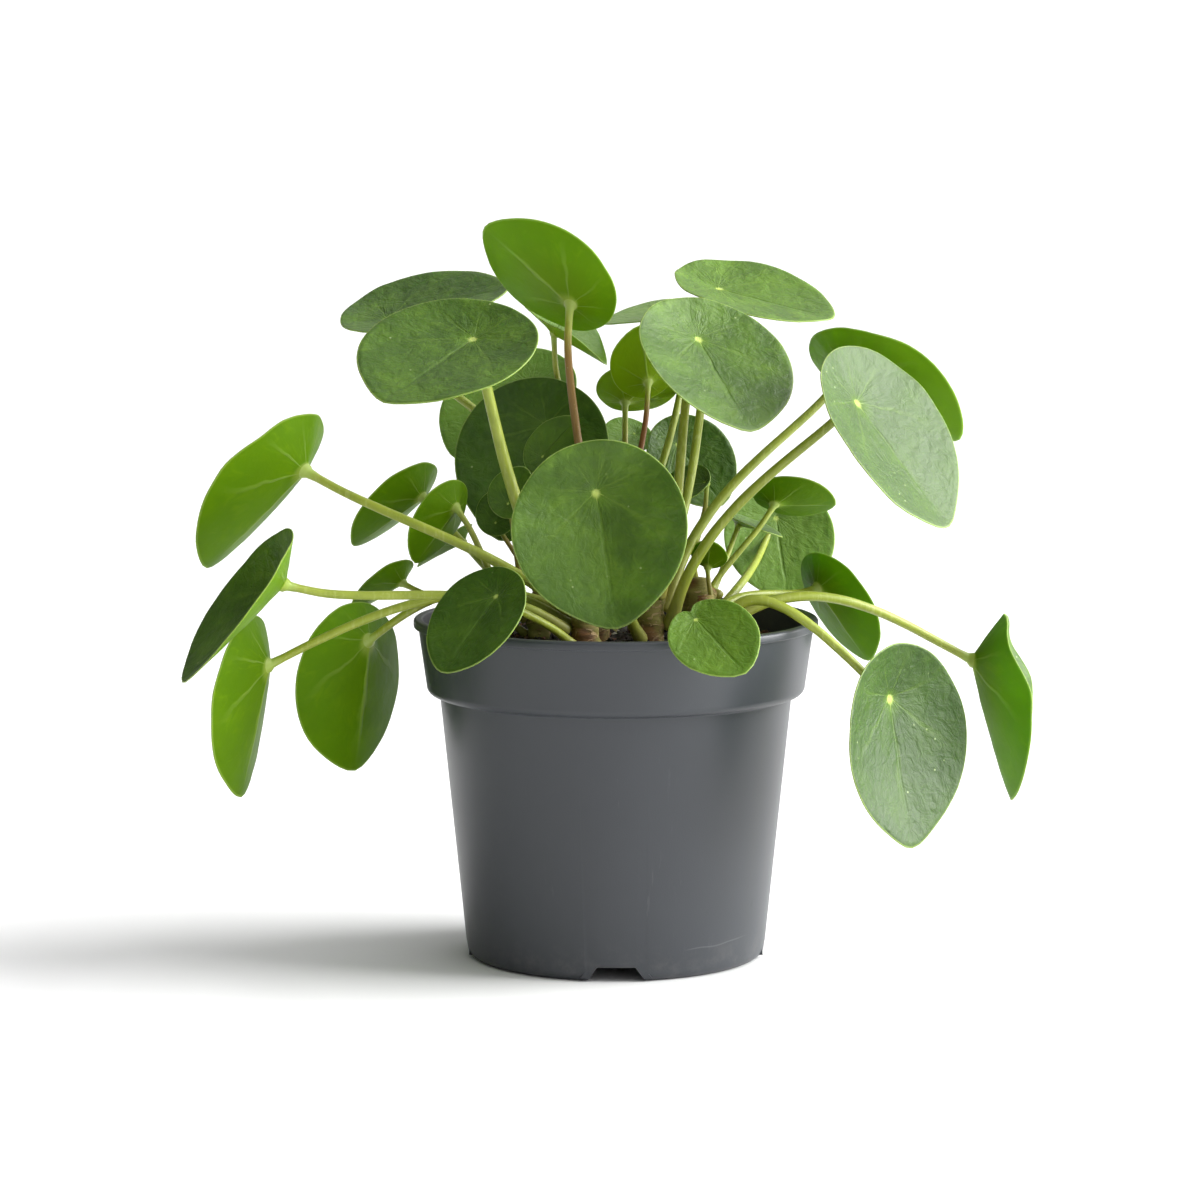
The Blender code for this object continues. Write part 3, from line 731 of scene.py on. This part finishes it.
    def build(self, finishes):
        bm = bmesh.new()
        disc = bm.verts.layers.float_vector.new("disc")
        look = bm.verts.layers.float_vector.new("look")
        along = bm.verts.layers.float.new("along")
        red = bm.verts.layers.float.new("red")
        blade_rings, blade_marks = self.blade()
        tube_rings, tube_marks, end = self.petiole()
        middle, made, last = skin(bm, self.point(0, 0), blade_rings + tube_rings, end)
        looks = LOOKS.get(self.node, {})
        # per leaf: the painted shade, the young leaves' colour and the painted sheen
        shade = Vector((looks.get("dark", 0), looks.get("fresh", 0), looks.get("painted_sheen", 0)))
        for vert in bm.verts:
            vert[look] = shade
            vert[red] = looks.get("red", 0.0)
        for verts, places in zip(made, blade_marks):
            for vert, place in zip(verts, places):
                vert[disc] = (*place, 0)
        for verts, place in zip(made[len(blade_rings):], tube_marks):
            for vert in verts:
                vert[along] = place
        last[along] = 1.0
        turned = self.rings + 1
        ring_of = {vert: i for i, verts in enumerate(made) for vert in verts}
        ring_of[middle] = 0
        ring_of[last] = len(made)
        for face in bm.faces:
            first = min(ring_of[vert] for vert in face.verts)
            face.material_index = 0 if first < turned else 1 if first < len(blade_rings) - 1 else 2
        bmesh.ops.recalc_face_normals(bm, faces=bm.faces)
        return new_piece(self.node + "_fine", bm, finishes, [self.node])


# ---------------------------------------------------------------- stems and soil

def soil_height(x, y, lumps):
    """The soil's top: the solid's low mound, broken into lumps."""
    share = min(1.0, sqrt(x * x + y * y) / SOIL_HIGH.x)
    level = SOIL_HIGH.z - 0.2 * MM - 1.8 * MM * share * share
    rough = noise.fractal(Vector((x, y, 0)) * 190, 0.7, 2.1, 4)
    return level + lumps * rough + 0.9 * lumps * abs(ripple(x, y, 3.0, 420.0))


def build_stem(node, seed, settings, finish):
    """A short woody stem with knobs where leaves have fallen."""
    knob, knob_turn, knob_height = 0.9 * MM, 0.35, 1.1 * MM
    low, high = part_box(node)
    centre = (low + high) / 2
    radius = (high.x - low.x) / 2 / 1.12
    height = high.z - low.z
    foot = low.z - 2 * MM
    segments, levels = 32, 26
    chance = Random(seed)
    knobs = [(chance.uniform(0, 2 * pi), chance.uniform(0.15, 0.9)) for _ in range(9)]
    rings = []
    for k in range(levels):
        share = k / (levels - 1)
        z = foot + (height + 2 * MM) * share
        taper = 1.10 - 0.14 * share - 0.36 * smooth(0.72, 1.0, share)
        ring = []
        for i in range(segments):
            angle = 2 * pi * i / segments
            out = radius * taper
            out += settings.lumps * 0.6 * ripple(cos(angle), sin(angle), z * 420 + seed, 1.6)
            out += settings.lumps * 0.16 * sin(z * 2400 + ripple(cos(angle), sin(angle), seed, 1) * 3)
            for turn, at in knobs:
                gap = (angle - turn + pi) % (2 * pi) - pi
                away = (gap / knob_turn) ** 2 + ((share - at) * height / knob_height) ** 2
                out += knob * exp(-away)
            ring.append(Vector((centre.x + out * cos(angle), centre.y + out * sin(angle), z)))
        rings.append(ring)
    bm = bmesh.new()
    skin(bm, Vector((centre.x, centre.y, foot)), rings, Vector((centre.x, centre.y, high.z + 0.5 * MM)))
    bmesh.ops.recalc_face_normals(bm, faces=bm.faces)
    return new_piece(node + "_fine", bm, [finish], [node])


def build_soil(settings, pot, finish):
    """The plug of mix: a lumpy top inside the collar and plain sides down the pot."""
    segments, rings_out = 120, 44
    slope = (pot.collar_top - pot.collar_foot) / pot.collar_height
    collar_foot = POT_HIGH.z - pot.collar_height
    brim = pot.collar_foot + slope * (SOIL_HIGH.z - 1 * MM - collar_foot) - pot.wall - 0.25 * MM
    angles = [2 * pi * i / segments for i in range(segments)]
    rings = []
    for k in range(1, rings_out + 1):
        out = brim * k / rings_out
        rings.append([Vector((out * cos(t), out * sin(t),
                              soil_height(out * cos(t), out * sin(t), settings.roughness)))
                      for t in angles])
    clear = pot.wall + 0.4 * MM
    sides = [(pot.collar_foot - clear, collar_foot + 2.5 * MM), (pot.wall_top - clear, collar_foot),
             (pot.wall_foot + 0.8 * MM - clear, SOIL_LOW.z + 1 * MM),
             (pot.wall_foot - clear, SOIL_LOW.z)]
    rings += [[Vector((out * cos(t), out * sin(t), z)) for t in angles] for out, z in sides]
    bm = bmesh.new()
    skin(bm, Vector((0, 0, soil_height(0, 0, settings.roughness))), rings)
    bmesh.ops.recalc_face_normals(bm, faces=bm.faces)
    return new_piece("soil_fine", bm, [finish], ["soil"])


def scatter(name, count, sizes, flatness, faces, seed, settings, finish, jitter):
    """Small lumps strewn over the soil: each one a rough, squashed ball, half sunk in it."""
    chance = Random(seed)
    widest = 52.5 * MM
    bm = bmesh.new()
    for _ in range(count):
        out = widest * sqrt(chance.random())
        angle = chance.uniform(0, 2 * pi)
        x, y = out * cos(angle), out * sin(angle)
        size = chance.uniform(*sizes)
        shape = Matrix.Diagonal((size * chance.uniform(0.7, 1.5), size * chance.uniform(0.5, 1.0),
                                 size * flatness * chance.uniform(0.7, 1.2), 1))
        tilt = Matrix.Rotation(chance.gauss(0, 0.45), 4, "X")
        tilt = tilt @ Matrix.Rotation(chance.gauss(0, 0.45), 4, "Y")
        turn = Matrix.Rotation(chance.uniform(0, 2 * pi), 4, "Z")
        place = Vector((x, y, soil_height(x, y, settings.roughness) + size * flatness * 0.25))
        lump = bmesh.ops.create_icosphere(bm, subdivisions=faces, radius=0.5,
                                          matrix=Matrix.Translation(place) @ tilt @ turn @ shape)
        for vert in lump["verts"]:
            vert.co += Vector([chance.uniform(-1, 1) for _ in range(3)]) * size * jitter * 0.3
    bmesh.ops.recalc_face_normals(bm, faces=bm.faces)
    return new_piece(name, bm, [finish], smooth=False)


# ---------------------------------------------------------------- pot

def arc(radius_at, height_at, radius, start, end, count):
    """Points of an arc in the profile plane, from start to end in degrees."""
    turns = [radians(start + (end - start) * i / count) for i in range(count + 1)]
    return [(radius_at + radius * cos(t), height_at + radius * sin(t)) for t in turns]


def pot_profile(pot):
    """The half section: up the outside from the axis to the lip, then down the inside."""
    top, lip = POT_HIGH.z, POT_HIGH.x
    collar_foot = top - pot.collar_height
    rounding = 2.6 * MM
    foot = arc(pot.wall_foot - 3 * MM, 3 * MM, 3 * MM, -90, -8, 8)
    under = arc(pot.wall_top + 0.9 * MM, collar_foot - 0.9 * MM, 0.9 * MM, 174, 100, 4)
    shoulder = arc(pot.collar_foot - rounding, collar_foot + rounding, rounding, -80, 0, 8)
    band = arc(lip - 0.5 * MM, top - pot.lip_depth + 0.5 * MM, 0.5 * MM, -90, 0, 4)
    crown = arc(lip - 0.9 * MM, top - 0.9 * MM, 0.9 * MM, 0, 90, 6)
    inner = arc(pot.collar_top - pot.wall + 0.5 * MM, top - 0.5 * MM, 0.5 * MM, 90, 180, 4)
    tuck = arc(pot.collar_top + 0.3 * MM, top - pot.lip_depth - 0.3 * MM, 0.3 * MM, 180, 100, 3)
    inside = [(pot.collar_foot - pot.wall, collar_foot + pot.wall + 0.6 * MM),
              (pot.collar_foot - pot.wall - 0.6 * MM, collar_foot + pot.wall),
              (pot.wall_top - pot.wall + 0.5 * MM, collar_foot + pot.wall / 2),
              (pot.wall_top - pot.wall, collar_foot - 0.2 * MM),
              (pot.wall_foot - pot.wall, 3 * MM), (pot.wall_foot - 3 * MM, pot.floor)]
    return [(0, 0), *foot, *under, *shoulder, *tuck, *band, *crown, *inner, *inside, (0, pot.floor)]


def spin_profile(bm, profile, steps):
    points = [bm.verts.new((radius, 0, height)) for radius, height in profile]
    edges = [bm.edges.new(pair) for pair in zip(points, points[1:])]
    bmesh.ops.spin(bm, geom=points + edges, cent=(0, 0, 0), axis=UP, angle=2 * pi, steps=steps,
                   use_merge=True)
    bmesh.ops.remove_doubles(bm, verts=bm.verts, dist=0.01 * MM)
    bmesh.ops.recalc_face_normals(bm, faces=bm.faces)


# The four drain channels and the drain holes, which are as in the solid.
CHANNEL_FOOT, CHANNEL_TOP = 9.2 * MM, 5.5 * MM
CHANNEL_HEIGHT = 4.4 * MM
CHANNEL_START = 14 * MM
CHANNEL_ROOF = 1.2 * MM
DRAIN_RADIUS = 3.6 * MM
DRAIN_IN_CHANNEL, DRAIN_BETWEEN = 27 * MM, 30 * MM


def channel_bar(bm, foot, height, spread, start, end):
    """A bar of trapezoid section along +X: a drain channel's roof or the channel itself."""
    low, high = CHANNEL_FOOT + spread, CHANNEL_TOP + spread
    section = [(-low, foot), (low, foot), (high, height), (-high, height)]
    face = bm.faces.new([bm.verts.new((start, y, z)) for y, z in section])
    swept = bmesh.ops.extrude_face_region(bm, geom=[face])["geom"]
    bmesh.ops.translate(bm, verts=[item for item in swept if isinstance(item, bmesh.types.BMVert)],
                        vec=(end - start, 0, 0))
    bmesh.ops.recalc_face_normals(bm, faces=bm.faces)


def cut_with(pot_object, operation, bm, turn):
    """Joins or cuts the pot with a shape turned about Z."""
    bmesh.ops.rotate(bm, verts=bm.verts, cent=(0, 0, 0), matrix=Matrix.Rotation(turn, 3, "Z"))
    mesh = bpy.data.meshes.new("helper")
    bm.to_mesh(mesh)
    bm.free()
    helper = bpy.data.objects.new("helper", mesh)
    bpy.context.scene.collection.objects.link(helper)
    modifier = pot_object.modifiers.new("cut", "BOOLEAN")
    modifier.operation = operation
    modifier.solver = "EXACT"
    modifier.object = helper
    return helper


def build_pot(pot, finish):
    """A spun shell; four drain channels run in under raised roofs, and eight holes drain it."""
    bm = bmesh.new()
    spin_profile(bm, pot_profile(pot), pot.steps)
    mesh = bpy.data.meshes.new("pot_fine")
    bm.to_mesh(mesh)
    bm.free()
    mesh.materials.append(finish)
    piece = bpy.data.objects.new("pot_fine", mesh)
    bpy.context.scene.collection.objects.link(piece)
    helpers = []
    turns = [pi / 2 * i for i in range(4)]
    for turn in turns:
        bm = bmesh.new()
        channel_bar(bm, 0.8 * pot.floor, CHANNEL_HEIGHT + CHANNEL_ROOF, CHANNEL_ROOF,
                    CHANNEL_START, pot.wall_foot - 0.7 * pot.wall)
        helpers.append(cut_with(piece, "UNION", bm, turn))
    for turn in turns:
        bm = bmesh.new()
        channel_bar(bm, -MM, CHANNEL_HEIGHT, 0, CHANNEL_START + 2 * CHANNEL_ROOF, POT_HIGH.x)
        helpers.append(cut_with(piece, "DIFFERENCE", bm, turn))
    for turn in turns:
        for angle, reach in ((0, DRAIN_IN_CHANNEL), (pi / 4, DRAIN_BETWEEN)):
            bm = bmesh.new()
            bmesh.ops.create_cone(bm, cap_ends=True, segments=32, radius1=DRAIN_RADIUS,
                                  radius2=DRAIN_RADIUS, depth=20 * MM,
                                  matrix=Matrix.Translation((reach, 0, 0)))
            helpers.append(cut_with(piece, "DIFFERENCE", bm, turn + angle))
    graph = bpy.context.evaluated_depsgraph_get()
    whole = bpy.data.meshes.new_from_object(piece.evaluated_get(graph), depsgraph=graph)
    piece.modifiers.clear()
    for helper in helpers:
        bpy.data.objects.remove(helper)
    bm = bmesh.new()
    bm.from_mesh(whole)
    bmesh.ops.remove_doubles(bm, verts=bm.verts, dist=0.005 * MM)
    bm.to_mesh(whole)
    bm.free()
    piece.data = whole
    whole.name = "pot_fine"
    whole.shade_smooth()
    whole.set_sharp_from_angle(angle=radians(32))
    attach(piece, BODY)
    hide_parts("pot")
    return piece


# ---------------------------------------------------------------- stage

CAMERA_PLACE = (-0.0047, -1.186, 0.246)
CAMERA_TILT = radians(83.27)
KEY_FROM = Vector((0.76, 0.02, 0.68))
SOFTBOX_PLACE = Vector((1.2, -0.02, 0.3))
SOFTBOX_AIM = Vector((0, 0, 0.08))
SKY_BRIGHTEST = Vector((0.92, 0.02, 0.40)).normalized()


def build_stage(stage):
    bm = bmesh.new()
    bmesh.ops.create_grid(bm, x_segments=1, y_segments=1, size=30)
    mesh = bpy.data.meshes.new("floor")
    bm.to_mesh(mesh)
    bm.free()
    finish = Finish("floor_paper", roughness=0.9, specular_ior_level=0.1)
    grain = finish.noise(finish.place(), 900.0, 2.0)
    finish.set("Base Color", finish.mix(grain, (0.86, 0.86, 0.86), (0.88, 0.88, 0.88)))
    mesh.materials.append(finish.material)
    ground = bpy.data.objects.new("floor", mesh)
    bpy.context.scene.collection.objects.link(ground)

    sun = bpy.data.lights.new("key", "SUN")
    sun.energy = stage.key
    sun.angle = stage.softness
    light = bpy.data.objects.new("key", sun)
    light.rotation_euler = KEY_FROM.to_track_quat("Z", "Y").to_euler()
    bpy.context.scene.collection.objects.link(light)

    box = bpy.data.lights.new("softbox", "AREA")
    box.energy = stage.side
    box.size = 1.0
    side = bpy.data.objects.new("softbox", box)
    side.location = SOFTBOX_PLACE
    side.rotation_euler = (SOFTBOX_PLACE - SOFTBOX_AIM).to_track_quat("Z", "Y").to_euler()
    bpy.context.scene.collection.objects.link(side)

    world = bpy.data.worlds.new("studio")
    bpy.context.scene.world = world
    world.use_nodes = True
    tree = world.node_tree
    background = tree.nodes["Background"]
    coords = tree.nodes.new("ShaderNodeTexCoord")
    toward = tree.nodes.new("ShaderNodeVectorMath")
    toward.operation = "DOT_PRODUCT"
    toward.inputs[1].default_value = SKY_BRIGHTEST
    spread = tree.nodes.new("ShaderNodeMapRange")
    spread.interpolation_type = "SMOOTHSTEP"
    for index, value in enumerate((-0.45, 1.0, 0.09, 1.45), start=1):
        spread.inputs[index].default_value = value
    seen = tree.nodes.new("ShaderNodeLightPath")
    choice = tree.nodes.new("ShaderNodeMix")
    choice.inputs[3].default_value = 1.2
    tree.links.new(coords.outputs["Generated"], toward.inputs[0])
    tree.links.new(toward.outputs["Value"], spread.inputs[0])
    tree.links.new(seen.outputs["Is Camera Ray"], choice.inputs[0])
    tree.links.new(spread.outputs[0], choice.inputs[2])
    tree.links.new(choice.outputs[0], background.inputs["Strength"])
    background.inputs["Color"].default_value = (1, 1, 1, 1)

    view = bpy.data.cameras.new("camera")
    view.lens = stage.lens
    view.sensor_width = 36
    view.clip_start, view.clip_end = 0.05, 100
    camera = bpy.data.objects.new("camera", view)
    camera.location = CAMERA_PLACE
    camera.rotation_euler = (CAMERA_TILT, 0, 0)
    bpy.context.scene.collection.objects.link(camera)
    bpy.context.scene.camera = camera
    bpy.context.scene.view_settings.view_transform = "Standard"


# ---------------------------------------------------------------- operators

class PILEA_OT_pot(bpy.types.Operator):
    """Model the moulded nursery pot"""
    bl_idname = "pilea.pot"
    bl_label = "Pot"

    def execute(self, context):
        settings = context.scene.pilea_pot
        build_pot(settings, pot_finish(settings))
        return {"FINISHED"}


class PILEA_OT_soil(bpy.types.Operator):
    """Model the potting mix, with its crumbs, bark and perlite"""
    bl_idname = "pilea.soil"
    bl_label = "Soil"

    def execute(self, context):
        soil, pot = context.scene.pilea_soil, context.scene.pilea_pot
        peat = soil_finish(soil)
        bark = chip_finish("bark_chips", tuple(soil.bark_colour), (0.060, 0.024, 0.011), 900.0, 0.7)
        white = chip_finish("perlite", tuple(soil.perlite_colour), (0.45, 0.42, 0.36), 1200.0, 0.8)
        build_soil(soil, pot, peat)
        scatter("soil_crumbs", soil.crumbs, (0.7 * MM, 2.4 * MM), 0.8, 1, 11, soil, peat, 0.5)
        scatter("soil_bark", soil.bark, (1.5 * MM, 4.2 * MM), 0.35, 2, 12, soil, bark, 0.3)
        scatter("soil_perlite", soil.perlite, (0.5 * MM, 1.6 * MM), 0.85, 2, 13, soil, white, 0.2)
        return {"FINISHED"}


class PILEA_OT_stems(bpy.types.Operator):
    """Model the woody stems that the leaves grow from"""
    bl_idname = "pilea.stems"
    bl_label = "Stems"

    def execute(self, context):
        settings = context.scene.pilea_stem
        finish = stem_finish(settings)
        for seed, node in enumerate(STEM_NODES, start=1):
            build_stem(node, seed, settings, finish)
        return {"FINISHED"}


class PILEA_OT_leaves(bpy.types.Operator):
    """Model each leaf, blade and petiole, on the line of its solid"""
    bl_idname = "pilea.leaves"
    bl_label = "Leaves"

    def execute(self, context):
        settings = context.scene.pilea_leaf
        finishes = [upper_finish(settings), under_finish(settings), petiole_finish(settings)]
        for seed, node in enumerate(LEAF_NODES, start=1):
            FineLeaf(node, seed, settings).build(finishes)
        return {"FINISHED"}


class PILEA_OT_stage(bpy.types.Operator):
    """Set the pale floor, the soft light and the camera"""
    bl_idname = "pilea.stage"
    bl_label = "Stage"

    def execute(self, context):
        build_stage(context.scene.pilea_stage)
        return {"FINISHED"}


class PILEA_PT_panel(bpy.types.Panel):
    """The plant's pieces and their settings"""
    bl_idname = "PILEA_PT_panel"
    bl_label = "Potted Pilea"
    bl_space_type = "VIEW_3D"
    bl_region_type = "UI"
    bl_category = "Pilea"

    def draw(self, context):
        for operator, name in PIECES:
            box = self.layout.box()
            box.operator(operator.bl_idname)
            settings = getattr(context.scene, name)
            for prop in settings.__annotations__:
                box.prop(settings, prop)


PIECES = ((PILEA_OT_pot, "pilea_pot"), (PILEA_OT_soil, "pilea_soil"),
          (PILEA_OT_stems, "pilea_stem"), (PILEA_OT_leaves, "pilea_leaf"),
          (PILEA_OT_stage, "pilea_stage"))
SETTINGS = {"pilea_pot": PotSettings, "pilea_soil": SoilSettings, "pilea_stem": StemSettings,
            "pilea_leaf": LeafSettings, "pilea_stage": StageSettings}
CLASSES = (*SETTINGS.values(), *(operator for operator, _ in PIECES), PILEA_PT_panel)


def register():
    for cls in CLASSES:
        bpy.utils.register_class(cls)
    for name, cls in SETTINGS.items():
        setattr(bpy.types.Scene, name, PointerProperty(type=cls))


def unregister():
    for name in SETTINGS:
        delattr(bpy.types.Scene, name)
    for cls in reversed(CLASSES):
        bpy.utils.unregister_class(cls)


def main():
    register()
    bpy.ops.pilea.stage()
    bpy.ops.pilea.pot()
    bpy.ops.pilea.soil()
    bpy.ops.pilea.stems()
    bpy.ops.pilea.leaves()


if __name__ == "__main__":
    main()
